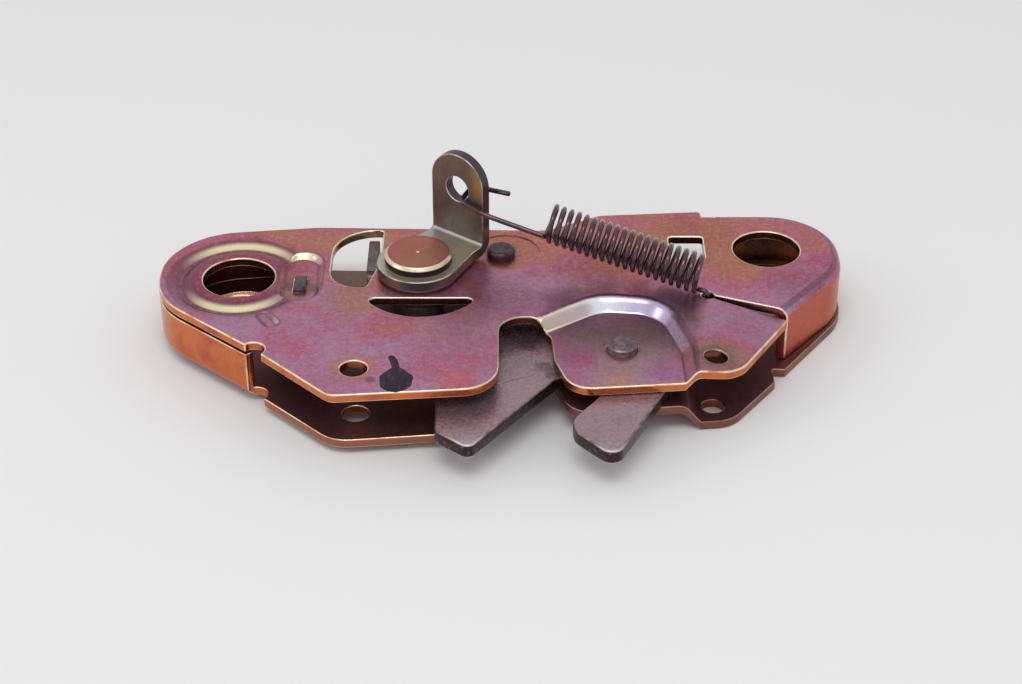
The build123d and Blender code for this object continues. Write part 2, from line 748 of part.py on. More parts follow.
def by_ear(outward, across, height):
    """Point given by its distance outward from the stud, its distance across the ear, and its height."""
    x, y = turned((outward, -across), lever_direction)
    return Vector(stud_place[0] + x, stud_place[1] + y, height)


def make_lever_spring():
    """Tension spring from the ear to the slit's round hole, with its two wire ends."""
    mean_radius = (lever_spring_outer - wire) / 2
    below = (0, 0, -1)
    turns, path = coil(lever_spring_left, lever_spring_right, lever_spring_turns, mean_radius, wire, below)
    front = ear_face - wire / 2 - hook_gap
    behind = ear_face + lever_thickness + wire / 2 + hook_gap
    inside = ear_offset + ear_hole * 0.27
    edge = ear_offset + ear_width / 2 + wire / 2 + hook_gap
    first, last = path @ 0, path @ 1
    left_hook = tube([
        first,
        by_ear(front, edge, ear_hole_height - 3.2),
        by_ear(front, inside, ear_hole_height - 2.0),
        by_ear(behind, inside, ear_hole_height - 0.3),
        by_ear(behind + 0.9, edge + hook_overrun, ear_hole_height + 0.6),
    ], [0.9, 0.8, 0.8], wire)
    x, y = slit_start
    under = front_under - wire / 2 - 0.1
    right_hook = tube([
        last,
        Vector(x, y, last.Z),
        Vector(x, y, under),
        Vector(x + hook_foot[0], y + hook_foot[1], under),
    ], [0.9, 0.9], wire)
    joints = Pos(*first) * Sphere(wire / 2) + Pos(*last) * Sphere(wire / 2)
    return turns + joints + left_hook + right_hook


def make_fork_spring():
    """Torsion spring round the tie pin: one leg in the fork's hole, the other on the pawl's spacer."""
    mean_radius = tie_body / 2 + 0.15 + fork_spring_wire / 2
    low = back_top + 0.1 + fork_spring_wire / 2
    rise = (fork_spring_wire + 0.05) * fork_spring_turns
    start = (tie_place[0], tie_place[1], low)
    end = (tie_place[0], tie_place[1], low + rise)
    turns, path = coil(start, end, fork_spring_turns, mean_radius, fork_spring_wire, (0, 1, 0))
    last = path @ 1
    hook = polar(fork_pivot, *spring_hole_polar)
    leg = tube([
        last,
        Vector(hook[0], hook[1], last.Z),
        Vector(hook[0], hook[1], fork_bottom + fork_thickness * 0.7),
    ], [1.0], fork_spring_wire)
    rest = Vector(stud_place[0], stud_place[1] + (spacer_diameter + fork_spring_wire) / 2 + seat, low)
    foot = tube([path @ 0, rest, rest + Vector(*spring_foot, 0)], [2.0], fork_spring_wire)
    return turns + leg + foot


pieces = {
    "front_plate": make_front_plate(),
    "back_plate": make_back_plate(),
    "fork": make_fork(),
    "fork_pin": make_fork_pin(),
    "tie_pin": make_tie_pin(),
    "end_strut": make_end_strut(),
    "lever_stud": make_lever_stud(),
    "release_lever": make_release_lever(),
    "lever_washer": make_stud_ring(washer_diameter, front_top, lever_bottom),
    "pawl": make_pawl(),
    "pawl_spacer_back": make_stud_ring(spacer_diameter, back_top, fork_bottom),
    "pawl_spacer_front": make_stud_ring(spacer_diameter, fork_top, front_under),
    "lever_spring": make_lever_spring(),
    "fork_spring": make_fork_spring(),
}
os.makedirs("parts", exist_ok=True)
for name, shape in pieces.items():
    export_step(shape, f"parts/{name}.step")
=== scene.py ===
import json
import math

import bmesh
import bpy
import numpy as np
from mathutils import Matrix, Vector
from mathutils.bvhtree import BVHTree

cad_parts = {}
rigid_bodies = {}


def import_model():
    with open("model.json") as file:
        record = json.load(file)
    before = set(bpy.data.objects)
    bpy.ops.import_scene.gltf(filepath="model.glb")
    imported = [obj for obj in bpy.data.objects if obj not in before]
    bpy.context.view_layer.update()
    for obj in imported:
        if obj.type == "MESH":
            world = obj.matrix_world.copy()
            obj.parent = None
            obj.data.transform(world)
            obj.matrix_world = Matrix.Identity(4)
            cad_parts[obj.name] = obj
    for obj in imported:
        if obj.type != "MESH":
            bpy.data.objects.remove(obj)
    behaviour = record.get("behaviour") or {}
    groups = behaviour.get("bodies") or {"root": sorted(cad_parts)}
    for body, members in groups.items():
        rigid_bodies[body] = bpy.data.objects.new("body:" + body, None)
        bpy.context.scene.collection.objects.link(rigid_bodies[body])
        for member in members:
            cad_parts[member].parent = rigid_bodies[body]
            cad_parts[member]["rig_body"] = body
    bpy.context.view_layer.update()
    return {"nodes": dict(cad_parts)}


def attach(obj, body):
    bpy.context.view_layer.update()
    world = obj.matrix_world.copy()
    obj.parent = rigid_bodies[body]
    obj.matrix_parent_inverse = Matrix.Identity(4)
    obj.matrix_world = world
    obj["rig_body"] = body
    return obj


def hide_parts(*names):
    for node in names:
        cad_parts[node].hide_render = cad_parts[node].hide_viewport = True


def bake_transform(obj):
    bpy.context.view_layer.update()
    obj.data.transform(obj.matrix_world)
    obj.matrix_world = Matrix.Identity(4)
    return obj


# Hood latch, dressed over its solids. Sizes are in millimetres here and go into Blender in metres. The finishes
# compare places in metres.
# +X runs to the plain mounting hole, +Y to the back edge, +Z up through the front plate.

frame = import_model()

mm = 0.001
front_top = 13.3                # upper side of the front plate
stud = np.array([-22.85, 25.3, 0.0])
tie = np.array([-5.05, 32.9, 0.0])
coin = tie + [1.0, 0.7, 0.0]    # middle of the flat struck round the tie pin
fork_pivot = np.array([20.25, 0.0, 0.0])
fork_tips = ((-11.5, -31.5), (16.9, -33.8))
lever_turn = math.radians(53.0)

# Plan places that the finishes change round
hole_left = (-61.65, 23.3)
round_right = (53.5, 37.0)      # middle of the right end's round outline
strut_lug = (-48.35, 21.8)
throat = (0.5, 0.0)
crescent = (-22.0, 10.5)
arc_window = (-37.0, 28.0)
arc_window_back = (-36.7, 42.9)
square_window = (37.0, 36.0)
square_window_back = (37.0, 40.0)
sheared_slit = (47.0, 14.5)
tooling_left = (-34.85, -11.2)
tooling_right = (39.15, -6.4)


# Surfaces

def grid_faces(rows, columns):
    """Four-cornered faces of a rows by columns grid of points whose columns close round."""
    down, across = np.arange(rows - 1)[:, None], np.arange(columns)[None, :]
    below, beside = down + 1, (across + 1) % columns
    corners = [down * columns + across, down * columns + beside,
               below * columns + beside, below * columns + across]
    return np.stack([corner.ravel() for corner in corners], axis=1)


def add_surface(name, points, faces, material):
    """A smooth mesh from points in millimetres and four-cornered faces, welded and facing outwards."""
    mesh = bpy.data.meshes.new(name)
    mesh.from_pydata((points * mm).tolist(), [], faces.tolist())
    shell = bmesh.new()
    shell.from_mesh(mesh)
    bmesh.ops.remove_doubles(shell, verts=shell.verts, dist=1e-6)
    bmesh.ops.recalc_face_normals(shell, faces=shell.faces)
    shell.to_mesh(mesh)
    shell.free()
    mesh.polygons.foreach_set("use_smooth", np.ones(len(mesh.polygons), bool))
    mesh.materials.append(material)
    piece = bpy.data.objects.new(name, mesh)
    bpy.context.scene.collection.objects.link(piece)
    return piece


def turned_surface(name, centre, profile, material, around=96):
    """Profile of (radius, height) carried once round a vertical line: x = r cos a, y = r sin a, z = h."""
    profile = np.asarray(profile, float)
    angle = np.linspace(0, 2 * np.pi, around, endpoint=False)[None, :]
    radius, height = profile[:, :1], profile[:, 1:]
    points = np.stack([centre[0] + radius * np.cos(angle), centre[1] + radius * np.sin(angle),
                       height + 0 * angle], axis=2)
    return add_surface(name, points.reshape(-1, 3), grid_faces(len(profile), around), material)


def wire_surface(name, path, reference, radius, material, around=14):
    """Round wire along a path: each station's ring is radius (n cos a + b sin a), where n is the reference
    direction made square to the path and b is square to both. Both ends close in a low dome."""
    along = np.gradient(path, axis=0)
    along /= np.linalg.norm(along, axis=1, keepdims=True)
    side = reference - along * np.sum(reference * along, axis=1, keepdims=True)
    side /= np.linalg.norm(side, axis=1, keepdims=True)
    other = np.cross(along, side)
    turn = np.sin(np.linspace(0, np.pi / 2, 5))
    scale = np.concatenate([turn, np.ones(len(path) - 2), turn[::-1]])
    push = 0.35 * radius * (1 - np.sqrt(1 - scale ** 2))
    pick = np.concatenate([np.zeros(5, int), np.arange(1, len(path) - 1), np.full(5, len(path) - 1)])
    centre = path[pick].copy()
    centre[:5] += along[:1] * push[:5, None] - along[:1] * push[4]
    centre[-5:] -= along[-1:] * push[-5:, None] - along[-1:] * push[-5]
    angle = np.linspace(0, 2 * np.pi, around, endpoint=False)
    cosine, sine = np.cos(angle)[None, :, None], np.sin(angle)[None, :, None]
    ring = cosine * side[pick][:, None] + sine * other[pick][:, None]
    points = centre[:, None] + radius * scale[:, None, None] * ring
    return add_surface(name, points.reshape(-1, 3), grid_faces(len(pick), around), material)


def helix(start, end, turns, radius, first_side, steps=30):
    """Points of a screw line: start + t (end - start) + radius (u cos 2 pi n t + v sin 2 pi n t)."""
    axis = end - start
    direction = axis / np.linalg.norm(axis)
    first = first_side - direction * np.dot(first_side, direction)
    first /= np.linalg.norm(first)
    second = np.cross(direction, first)
    t = np.linspace(0, 1, int(turns * steps) + 1)[:, None]
    angle = 2 * np.pi * turns * t
    return start + t * axis + radius * (first * np.cos(angle) + second * np.sin(angle)), direction


def bent_run(points, rounds, steps=7):
    """Straight runs whose corners are parabolas (1-t)^2 A + 2 t (1-t) P + t^2 B, where A and B lie a round's
    length away."""
    t = np.linspace(0, 1, steps)[:, None]
    stations = [points[:1]]
    for last, corner, following, length in zip(points, points[1:], points[2:], rounds):
        before = corner + (last - corner) / np.linalg.norm(last - corner) * length
        after = corner + (following - corner) / np.linalg.norm(following - corner) * length
        stations.append((1 - t) ** 2 * before + 2 * t * (1 - t) * corner + t ** 2 * after)
    return np.concatenate(stations + [points[-1:]])


def evened(path, spacing):
    """The same line with its stations a constant distance apart, measured along it."""
    length = np.concatenate([[0], np.cumsum(np.linalg.norm(np.diff(path, axis=0), axis=1))])
    wanted = np.linspace(0, length[-1], int(length[-1] / spacing) + 2)
    return np.stack([np.interp(wanted, length, path[:, axis]) for axis in range(3)], axis=1)


def weigh_outer_edges(shell, sharp_within):
    """Bevel weight on the edges of the upright sides that turn outwards by more than 38 degrees, apart from
    those inside the circle (x, y, radius)."""
    weight = shell.edges.layers.float.new("bevel_weight_edge")
    for edge in shell.edges:
        middle = (edge.verts[0].co + edge.verts[1].co) / 2 / mm
        spared = sharp_within and math.dist(middle[:2], sharp_within[:2]) < sharp_within[2]
        level = min(abs(face.normal.z) for face in edge.link_faces) > 0.5
        if not spared and not level and edge.calc_face_angle_signed(0) > math.radians(38):
            edge[weight] = 1


def lay_back(rounded, solid, surface, width):
    """Keeps the corners of a bevelled mesh inside its solid's box, and lays those back on the solid's surface
    that the bevel threw clear of it by more than 0.6 of its width."""
    places = np.array([corner.co for corner in rounded.vertices])
    own = np.array([corner.co for corner in solid.vertices])
    places = np.clip(places, own.min(axis=0), own.max(axis=0))
    nearest = [surface.find_nearest(place) for place in places.tolist()]
    stray = np.array([hit[3] for hit in nearest]) > 0.6 * width * mm
    places[stray] = np.array([hit[0] for hit in nearest])[stray]
    rounded.vertices.foreach_set("co", places.ravel())


def softened_copy(node, name, width, material, edge_material=None, sharp_within=None):
    """Merged copy of a solid, its flat faces joined and the outer edges of its upright sides rounded off by a
    bevel, standing for the solid. Edges inside the circle (x, y, radius) stay sharp."""
    source = frame["nodes"][node]
    mesh = source.data.copy()
    shell = bmesh.new()
    shell.from_mesh(mesh)
    bmesh.ops.remove_doubles(shell, verts=shell.verts, dist=2e-6)
    bmesh.ops.dissolve_limit(shell, angle_limit=math.radians(0.6), verts=shell.verts, edges=shell.edges)
    surface = BVHTree.FromBMesh(shell)
    weigh_outer_edges(shell, sharp_within)
    shell.to_mesh(mesh)
    shell.free()
    mesh.materials.clear()
    mesh.materials.append(material)
    piece = bpy.data.objects.new(name, mesh)
    bpy.context.scene.collection.objects.link(piece)
    bevel = piece.modifiers.new("rounded_edges", "BEVEL")
    bevel.width = width * mm
    bevel.segments = 2
    bevel.limit_method = "WEIGHT"
    bevel.use_clamp_overlap = False
    if edge_material:
        mesh.materials.append(edge_material)
        bevel.material = 1
    rounded = bpy.data.meshes.new_from_object(piece.evaluated_get(bpy.context.evaluated_depsgraph_get()))
    lay_back(rounded, source.data, surface, width)
    rounded.polygons.foreach_set("use_smooth", np.ones(len(rounded.polygons), bool))
    rounded.name = name
    piece.modifiers.clear()
    piece.data = rounded
    piece.modifiers.new("flat_faces_first", "WEIGHTED_NORMAL").weight = 80
    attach(piece, source["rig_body"])
    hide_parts(node)
    return piece


# Finishes

def colour(red, green, blue):
    """Screen colour 0 to 255 as linear red, green, blue, alpha."""
    level = np.array([red, green, blue]) / 255
    linear = np.where(level <= 0.04045, level / 12.92, ((level + 0.055) / 1.055) ** 2.4)
    return (*linear.tolist(), 1.0)


class Finish:
    """A material being wired: each method adds a node and returns the socket that carries its result."""

    def __init__(self, name, metallic, roughness=0.5):
        """The roughness is for a finish that wires none of its own."""
        self.material = bpy.data.materials.new(name)
        self.material.use_nodes = True
        self.tree = self.material.node_tree
        self.shader = self.tree.nodes["Principled BSDF"]
        self.shader.inputs["Metallic"].default_value = metallic
        self.shader.inputs["Roughness"].default_value = roughness
        self.place = self.add("ShaderNodeTexCoord").outputs["Object"]
        self.facing = self.add("ShaderNodeNewGeometry").outputs["Normal"]

    def add(self, kind, **settings):
        """A node of that kind with its settings."""
        node = self.tree.nodes.new(kind)
        for key, value in settings.items():
            setattr(node, key, value)
        return node

    def feed(self, value, socket):
        """A link to the socket, or a plain number or colour set on it."""
        if isinstance(value, bpy.types.NodeSocket):
            self.tree.links.new(value, socket)
        else:
            socket.default_value = value

    def to_shader(self, value, name):
        """The same for one of the shader's own sockets."""
        self.feed(value, self.shader.inputs[name])

    def sums(self, operation, first, second=0.0, clamp=False):
        """One sum on one or two numbers."""
        node = self.add("ShaderNodeMath", operation=operation, use_clamp=clamp)
        self.feed(first, node.inputs[0])
        self.feed(second, node.inputs[1])
        return node.outputs[0]

    def part(self, vector, axis):
        """The x, y or z part of a vector."""
        node = self.add("ShaderNodeSeparateXYZ")
        self.feed(vector, node.inputs[0])
        return node.outputs[axis]

    def steps(self, value, low, high, start=0.0, stop=1.0):
        """Smooth change from start to stop as the value goes from low to high."""
        node = self.add("ShaderNodeMapRange", interpolation_type="SMOOTHSTEP")
        self.feed(value, node.inputs["Value"])
        for name, number in (("From Min", low), ("From Max", high), ("To Min", start), ("To Max", stop)):
            self.feed(number, node.inputs[name])
        return node.outputs["Result"]

    def stretched(self, scale, degrees=0.0):
        """Object place turned about the vertical and scaled, so that a pattern runs long one way."""
        node = self.add("ShaderNodeMapping")
        self.feed(self.place, node.inputs["Vector"])
        node.inputs["Rotation"].default_value = (0, 0, math.radians(degrees))
        node.inputs["Scale"].default_value = scale
        return node.outputs["Vector"]

    def noise(self, size, detail=2.0, roughness=0.5, distortion=0.0, vector=None):
        """Cloudy pattern whose spots are about so many millimetres across."""
        node = self.add("ShaderNodeTexNoise")
        self.feed(vector if vector is not None else self.place, node.inputs["Vector"])
        node.inputs["Scale"].default_value = 1 / (size * mm)
        node.inputs["Detail"].default_value = detail
        node.inputs["Roughness"].default_value = roughness
        node.inputs["Distortion"].default_value = distortion
        return node.outputs["Fac"]

    def ramp(self, value, stops):
        """Colour along a line of (position, colour) stops."""
        node = self.add("ShaderNodeValToRGB")
        self.feed(value, node.inputs[0])
        for index, (position, tone) in enumerate(stops):
            if index < 2:
                stop = node.color_ramp.elements[index]
                stop.position = position
            else:
                stop = node.color_ramp.elements.new(position)
            stop.color = tone
        return node.outputs["Color"]

    def mix(self, amount, first, second):
        """The first colour, covered by the second to the given amount."""
        node = self.add("ShaderNodeMix", data_type="RGBA")
        self.feed(amount, node.inputs[0])
        self.feed(first, node.inputs[6])
        self.feed(second, node.inputs[7])
        return node.outputs[2]

    def away(self, centre):
        """Distance in plan from a point in millimetres, itself in metres."""
        flat = self.add("ShaderNodeVectorMath", operation="MULTIPLY")
        self.feed(self.place, flat.inputs[0])
        flat.inputs[1].default_value = (1, 1, 0)
        node = self.add("ShaderNodeVectorMath", operation="DISTANCE")
        self.feed(flat.outputs[0], node.inputs[0])
        node.inputs[1].default_value = (centre[0] * mm, centre[1] * mm, 0)
        return node.outputs["Value"]

    def near(self, centre, inner, outer, wobble=None):
        """1 inside the inner distance of a plan point, falling to 0 at the outer one."""
        distance = self.away(centre)
        if wobble is not None:
            distance = self.sums("ADD", distance, wobble)
        return self.steps(distance, inner * mm, outer * mm, 1.0, 0.0)

    def tinted(self, tone, wobble, spots):
        """The tone with soft round spots over it, each (centre, inner, outer, amount, colour)."""
        for centre, inner, outer, amount, tint in spots:
            cover = self.sums("MULTIPLY", self.near(centre, inner, outer, wobble), amount)
            tone = self.mix(cover, tone, tint)
        return tone

    def bump(self, height, depth, strength):
        """Relief from a 0 to 1 height, so many millimetres deep."""
        node = self.add("ShaderNodeBump")
        node.inputs["Strength"].default_value = strength
        node.inputs["Distance"].default_value = depth * mm
        self.feed(height, node.inputs["Height"])
        self.feed(node.outputs["Normal"], self.shader.inputs["Normal"])


def scratches(finish, size, long, degrees, cut):
    """Thin lines along one direction: a noise drawn out along it, kept only near its highest values."""
    vector = finish.stretched((1, 1 / long, 1), degrees)
    return finish.steps(finish.noise(size, 2, 0.6, 0.2, vector), cut, cut + 0.06)


# Each (centre, inner, outer, push): where the front plate's film is thinner or thicker
film_pushes = (
    ((40.0, -6.0), 3.0, 12.0, -0.16), ((66.0, 28.0), 3.0, 12.0, 0.10), ((-44.0, 7.0), 2.0, 9.0, -0.05),
    ((-29.0, 6.0), 2.0, 9.0, -0.10), ((47.0, 5.0), 2.0, 10.0, 0.03))

# Each (centre, inner, outer, amount, colour): soft tints over the front plate's film
film_tints = (
    (hole_left, 9.0, 19.0, 0.85, colour(140, 34, 68)),
    (strut_lug, 3.0, 9.0, 0.60, colour(166, 116, 84)),
    ((-35.0, 17.0), 4.0, 10.0, 0.50, colour(178, 116, 86)),
    ((-34.0, 12.0), 0.5, 5.5, 0.60, colour(196, 112, 74)),
    ((-20.0, 3.0), 1.0, 7.0, 0.40, colour(172, 132, 132)),
    ((-47.5, -3.5), 1.0, 6.5, 0.50, colour(190, 64, 96)),
    ((-10.0, 7.0), 2.0, 8.0, 0.40, colour(170, 132, 146)),
    ((-2.5, -17.5), 0.6, 5.0, 0.45, colour(168, 134, 96)),
    ((60.0, 21.0), 4.0, 12.0, 0.50, colour(136, 66, 84)),
    ((66.5, 30.0), 1.0, 6.0, 0.45, colour(164, 62, 118)),
    ((38.0, 42.0), 4.0, 13.0, 0.60, colour(164, 90, 62)),
    ((45.0, 31.0), 3.0, 10.0, 0.60, colour(172, 104, 70)),
    ((63.5, 37.5), 1.0, 5.0, 0.45, colour(176, 104, 72)),
    (tooling_right, 2.4, 8.0, 0.55, colour(128, 110, 106)),
    ((46.5, 6.0), 1.0, 6.0, 0.45, colour(166, 84, 122)),
    ((36.5, 8.5), 1.0, 4.5, 0.45, colour(176, 112, 92)),
    ((32.0, 1.0), 1.0, 5.0, 0.35, colour(120, 114, 104)),
    ((-2.0, 14.0), 3.0, 9.0, 0.35, colour(118, 68, 84)),
    ((16.0, 26.0), 3.0, 13.0, 0.55, colour(138, 66, 56)),
    ((-37.0, 13.0), 3.0, 10.0, 0.40, colour(156, 116, 96)),
    ((-34.8, -11.2), 2.6, 7.0, 0.55, colour(184, 120, 86)),
    ((-14.1, -15.5), 1.0, 6.5, 0.60, colour(208, 96, 86)),
    ((-5.0, 19.0), 2.0, 10.0, 0.40, colour(128, 98, 112)),
    ((19.5, 0.0), 8.0, 14.0, 0.60, colour(170, 142, 134)),
    ((11.6, -4.0), 0.8, 6.0, 0.75, colour(186, 78, 136)),
    ((28.5, -8.0), 0.8, 6.0, 0.60, colour(164, 92, 150)),
    ((19.4, -12.0), 0.8, 6.5, 0.65, colour(194, 146, 112)),
    ((26.0, 7.0), 0.6, 5.0, 0.50, colour(170, 140, 96)),
    (coin, 7.1, 7.7, 0.85, colour(172, 106, 80)))

# Each (centre, inner, outer, amount): darker spots on the front plate, along the top of the pressed fork area
# under the tension spring, a small one left of the paint dab, and round the stud, the pins, the lug and the
# right tooling hole
dark_spots = (
    ((8.0, 9.0), 1.0, 5.5, 0.30), ((9.0, 16.0), 0.5, 6.5, 0.35), ((17.0, 18.5), 0.5, 6.5, 0.35),
    ((25.0, 18.5), 0.5, 6.5, 0.40), ((31.0, 16.5), 0.5, 6.0, 0.55), ((35.5, 13.0), 0.5, 5.0, 0.50),
    ((-31.2, -15.6), 0.4, 1.8, 0.45), (tie, 2.5, 5.5, 0.35), (stud, 6.0, 10.5, 0.28),
    (strut_lug, 2.0, 4.5, 0.45), (fork_pivot, 3.0, 4.8, 0.40), (tooling_right, 2.0, 5.5, 0.40))


def film_tone(finish, y, small, wobble, front):
    """Rainbow film of the flats: cloudy bands of grey, tan, crimson and mauve, thinner behind."""
    clouds = finish.noise(17, 3, 0.55, 0.7)
    film = finish.sums("ADD", finish.sums("MULTIPLY", clouds, 0.42), finish.sums("MULTIPLY", small, 0.20))
    film = finish.sums("ADD", film, 0.31 if front else 0.17)
    film = finish.sums("ADD", film, finish.steps(y, 0.012, 0.034, 0.0, -0.15))
    for centre, inner, outer, push in film_pushes if front else ():
        film = finish.sums("ADD", film, finish.sums("MULTIPLY", finish.near(centre, inner, outer), push))
    tone = finish.ramp(film, [
        (0.26, colour(150, 138, 108)), (0.36, colour(166, 128, 92)), (0.45, colour(184, 112, 88)),
        (0.53, colour(180, 94, 114)), (0.60, colour(180, 114, 146)), (0.70, colour(176, 130, 160)),
        (0.82, colour(152, 124, 142))])
    return finish.tinted(tone, wobble, film_tints if front else ())


def slope_highlight_tone(finish, x, aside):
    """Painted highlight of the front plate's pressed slopes, tinted like a thin film: straw by the throat to
    bluish white on the right, duller where a slope faces right, and round the left hole where it faces either
    side. By the tail of the left hole's groove it turns mauve, with a painted highlight at the tail's tip."""
    warm = colour(250, 240, 190)
    straw = finish.ramp(finish.steps(x, -0.002, 0.032), [
        (0.0, warm), (0.30, colour(250, 246, 222)), (0.55, colour(234, 242, 250)),
        (0.85, colour(196, 184, 214))])
    fading = finish.sums("MULTIPLY", finish.steps(finish.sums("ABSOLUTE", aside), 0.18, 0.44, 0.0, 0.65),
                         finish.near(hole_left, 19.0, 20.0))
    fading = finish.sums("MAXIMUM", fading, finish.steps(aside, 0.20, 0.50, 0.0, 0.7))
    straw = finish.mix(fading, straw, colour(158, 128, 146))
    return finish.tinted(straw, None, (((-55.0, 8.6), 1.5, 3.2, 0.85, colour(150, 106, 132)),
                                       ((-52.4, 4.6), 0.2, 1.6, 0.9, warm)))


def side_tone(finish, x, y, aside, ahead, front):
    """Cut and bent sides: orange, with painted shade inside the openings and on the back plate's sides that
    face the inside, and a painted highlight on the arc window's far wall.
    """
    dark = colour(50, 34, 32)
    side = finish.ramp(finish.noise(9, 3, 0.6, 0.4), [
        (0.30, colour(190, 84, 44)), (0.5, colour(212, 118, 56)), (0.7, colour(184, 80, 54))])
    # Painted shade on the sides near the left hole and the right end's hole.
    side = finish.tinted(side, None, ((hole_left, 15.6, 16.6, 0.85, dark),
                                      (round_right, 11.6, 12.8, 0.85, colour(56, 40, 34))))
    if front:
        # Painted shade on the sides in the throat, the crescent, the windows, the slit and the tooling holes; a
        # painted highlight on the arc window's far wall; a deeper orange on the right end's front sides.
        side = finish.tinted(side, None, (
            (throat, 9.0, 13.5, 0.85, colour(48, 34, 34)),
            (crescent, 13.0, 15.0, 0.85, colour(48, 34, 34)),
            (arc_window, 10.0, 13.0, 0.75, colour(60, 46, 40)),
            (arc_window_back, 4.0, 6.0, 0.8, colour(226, 208, 166)),
            (square_window, 8.0, 10.0, 0.85, colour(44, 34, 30)),
            (sheared_slit, 7.5, 9.5, 0.85, colour(78, 66, 68)),
            (tooling_right, 3.0, 3.6, 0.8, colour(48, 34, 36)),
            (tooling_left, 3.2, 3.8, 0.6, colour(66, 40, 36)),
            ((64.0, 20.0), 12.0, 16.0, 0.8, colour(178, 70, 42))))
        cut_end = finish.sums("MULTIPLY", finish.steps(aside, -0.5, -0.8), finish.steps(x, 0.052, 0.055))
        return finish.mix(cut_end, side, colour(92, 76, 82))
    # Painted shade on the back plate's sides that face the inside.
    inward = finish.sums("MULTIPLY", finish.steps(ahead, -0.1, -0.3),
                         finish.steps(y, 0.020, 0.024, 0.0, 0.85))
    side = finish.mix(inward, side, dark)
    side = finish.mix(finish.steps(y, -0.004, -0.012, 0.0, 0.7), side, colour(136, 98, 88))
    # Painted shade: the back plate's sides darker towards the right.
    for low, high, amount in ((-0.004, 0.006, 0.5), (0.030, 0.050, 0.4)):
        side = finish.mix(finish.steps(x, low, high, 0.0, amount), side, colour(96, 58, 56))
    return side


def dirt_and_shade(finish, z, up, wobble, front):
    """Amount of darkening: cloudy dirty patches, dark spots on the front plate, and painted shade over the
    inside of the back plate.
    """
    grime_and_shade = finish.steps(finish.noise(6, 5, 0.68, 0.5), 0.58, 0.76, 0.0, 0.35)
    for centre, inner, outer, amount in dark_spots if front else ():
        spot = finish.sums("MULTIPLY", finish.near(centre, inner, outer, wobble), amount)
        grime_and_shade = finish.sums("MAXIMUM", grime_and_shade, spot)
    if front:
        return grime_and_shade
    # Painted shade over the back plate's upward faces, under the front plate.
    inside = finish.sums("MULTIPLY", finish.steps(z, 0.0001, 0.0003), finish.steps(up, 0.5, 0.8, 0.0, 0.62))
    return finish.sums("MAXIMUM", grime_and_shade, inside)


def plated_zinc(name, front):
    """Yellow-passivated zinc: rainbow film on the flats; on the front plate a painted highlight on pressed
    slopes that face the front edge, and painted shade on the rest of its slopes and bends; orange on the
    sheared sides, with painted shade in the openings; with mottle, fine scratches, dirty patches and dark
    spots, and painted shade over the inside of the back plate."""
    finish = Finish(name, 0.92)
    x, y, z = (finish.part(finish.place, axis) for axis in range(3))
    aside, ahead, up = (finish.part(finish.facing, axis) for axis in range(3))
    upright = finish.sums("ABSOLUTE", up)
    small = finish.noise(3.2, 4, 0.62, 0.3)
    mottle = finish.noise(1.0, 4, 0.72)
    fine = finish.noise(0.35, 3, 0.7)
    wobble = finish.sums("MULTIPLY", finish.sums("SUBTRACT", small, 0.5), 0.006)
    tone = film_tone(finish, y, small, wobble, front)
    tone = finish.mix(finish.steps(mottle, 0.36, 0.52, 0.24, 0.0), tone, colour(92, 60, 78))
    tone = finish.mix(finish.steps(mottle, 0.50, 0.68, 0.0, 0.26), tone, colour(206, 168, 180))
    # Painted highlight: slopes that face the front edge, left of the right end, take the pale slope tone and
    # less roughness.
    leaning = finish.sums("MULTIPLY", finish.steps(ahead, -0.42, -0.10, 1.0, 0.0),
                          finish.steps(x, 0.040, 0.048, 1.0, 0.0))
    bright = finish.sums("MULTIPLY", finish.steps(upright, 0.86, 0.985, 1.0, 0.0), leaning)
    if front:
        # Painted shade: the front plate's slopes and bends darkened, fading out towards the flats; the painted
        # highlight covers it where they face the front edge.
        crest_shade = finish.sums("MULTIPLY", finish.steps(upright, 0.985, 0.998, 0.5, 0.0),
                            finish.steps(upright, 0.7, 0.8))
        tone = finish.mix(crest_shade, tone, colour(86, 60, 76))
        tone = finish.mix(bright, tone, slope_highlight_tone(finish, x, aside))
    side = side_tone(finish, x, y, aside, ahead, front)
    tone = finish.mix(finish.steps(upright, 0.12, 0.42), side, tone)
    tone = finish.mix(finish.steps(fine, 0.35, 0.75, 0.0, 0.14), tone, colour(214, 176, 186))
    lines = scratches(finish, 0.22, 26, 12, 0.66)
    for size, long, degrees, cut in ((0.3, 30, 78, 0.67), (0.25, 22, -38, 0.68)):
        lines = finish.sums("MAXIMUM", lines, scratches(finish, size, long, degrees, cut))
    tone = finish.mix(finish.sums("MULTIPLY", lines, 0.12), tone, colour(226, 200, 196))
    # Dirty patches, dark spots and painted shade darken the colour, less where the painted highlight lies.
    grime_and_shade = finish.sums("MULTIPLY", dirt_and_shade(finish, z, up, wobble, front),
                        finish.steps(bright, 0.0, 0.6, 1.0, 0.12))
    finish.to_shader(finish.mix(grime_and_shade, tone, colour(70, 52, 54)), "Base Color")
    rough = finish.sums("ADD", finish.sums("MULTIPLY", fine, 0.16), finish.sums("MULTIPLY", grime_and_shade, 0.22))
    rough = finish.sums("ADD", rough, finish.sums("MULTIPLY", bright, -0.10))
    finish.to_shader(finish.sums("ADD", rough, 0.22), "Roughness")
    relief = finish.sums("ADD", finish.sums("MULTIPLY", fine, 0.5), finish.sums("MULTIPLY", small, 0.8))
    finish.bump(finish.sums("SUBTRACT", relief, finish.sums("MULTIPLY", lines, 0.25)), 0.05, 0.6)
    return finish.material


